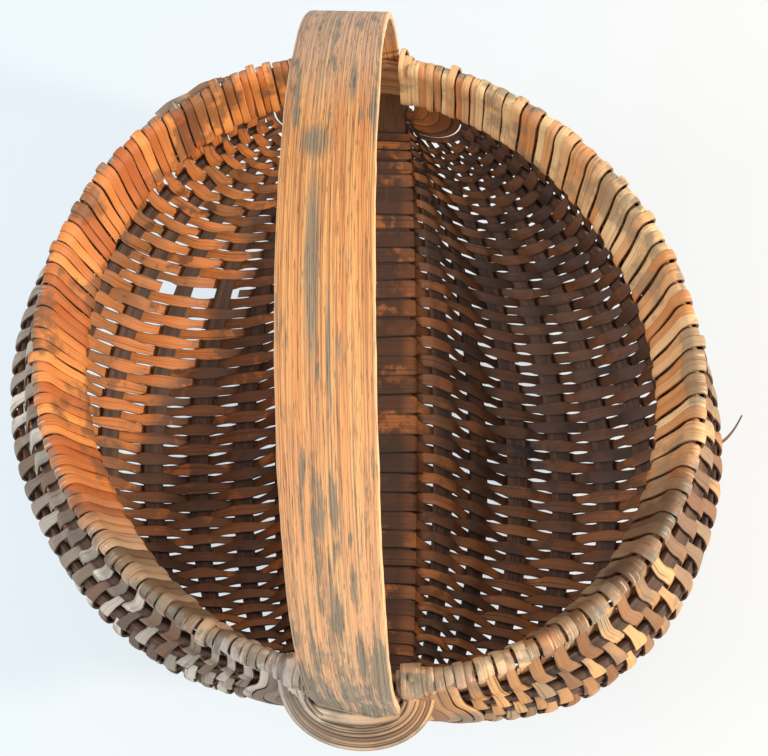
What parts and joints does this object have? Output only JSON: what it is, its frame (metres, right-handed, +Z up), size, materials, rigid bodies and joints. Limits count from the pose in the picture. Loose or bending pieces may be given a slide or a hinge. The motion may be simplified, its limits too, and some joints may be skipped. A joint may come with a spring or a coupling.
{
  "type": "buttocks basket",
  "caption": "Woven split-oak buttocks basket: rim hoop, fixed handle hoop, flat ribs in two lobes and over-under splint.",
  "frame": {"origin": "centre of the basket's bounding box in plan, on the surface that its two lobes stand on", "axes": "+X across the basket to the right lobe, +Y along the handle hoop from the near ear, where its ends lap, to the far ear, +Z up"},
  "size_m": [0.377, 0.3466, 0.2922],
  "materials": {
    "handle_oak": "old split oak, worn smooth, with grey-blue remains of paint",
    "rim_oak": "old split oak, dark",
    "rib_oak": "old whittled oak, dark brown",
    "weaver_splint": "aged oak splint, matt, greyer outside",
    "lashing_splint": "aged narrow oak splint, matt"
  },
  "bodies": {
    "root": {"handle_hoop": "handle_oak", "rim_hoop": "rim_oak", "rib_right_01": "rib_oak", "rib_right_02": "rib_oak", "rib_right_03": "rib_oak", "rib_right_04": "rib_oak", "rib_right_05": "rib_oak", "rib_right_06": "rib_oak", "rib_right_07": "rib_oak", "rib_right_08": "rib_oak", "rib_right_09": "rib_oak", "rib_right_10": "rib_oak", "rib_left_01": "rib_oak", "rib_left_02": "rib_oak", "rib_left_03": "rib_oak", "rib_left_04": "rib_oak", "rib_left_05": "rib_oak", "rib_left_06": "rib_oak", "rib_left_07": "rib_oak", "rib_left_08": "rib_oak", "rib_left_09": "rib_oak", "rib_left_10": "rib_oak", "weaver_01": "weaver_splint", "weaver_02": "weaver_splint", "weaver_03": "weaver_splint", "weaver_04": "weaver_splint", "weaver_05": "weaver_splint", "weaver_06": "weaver_splint", "weaver_07": "weaver_splint", "weaver_08": "weaver_splint", "weaver_09": "weaver_splint", "weaver_10": "weaver_splint", "weaver_11": "weaver_splint", "weaver_12": "weaver_splint", "weaver_13": "weaver_splint", "weaver_14": "weaver_splint", "weaver_15": "weaver_splint", "weaver_16": "weaver_splint", "weaver_17": "weaver_splint", "weaver_18": "weaver_splint", "near_lashing_1": "lashing_splint", "near_lashing_2": "lashing_splint", "near_lashing_3": "lashing_splint", "near_lashing_4": "lashing_splint", "far_lashing_1": "lashing_splint", "far_lashing_2": "lashing_splint", "far_lashing_3": "lashing_splint", "far_lashing_4": "lashing_splint"}
  },
  "joints": []
}
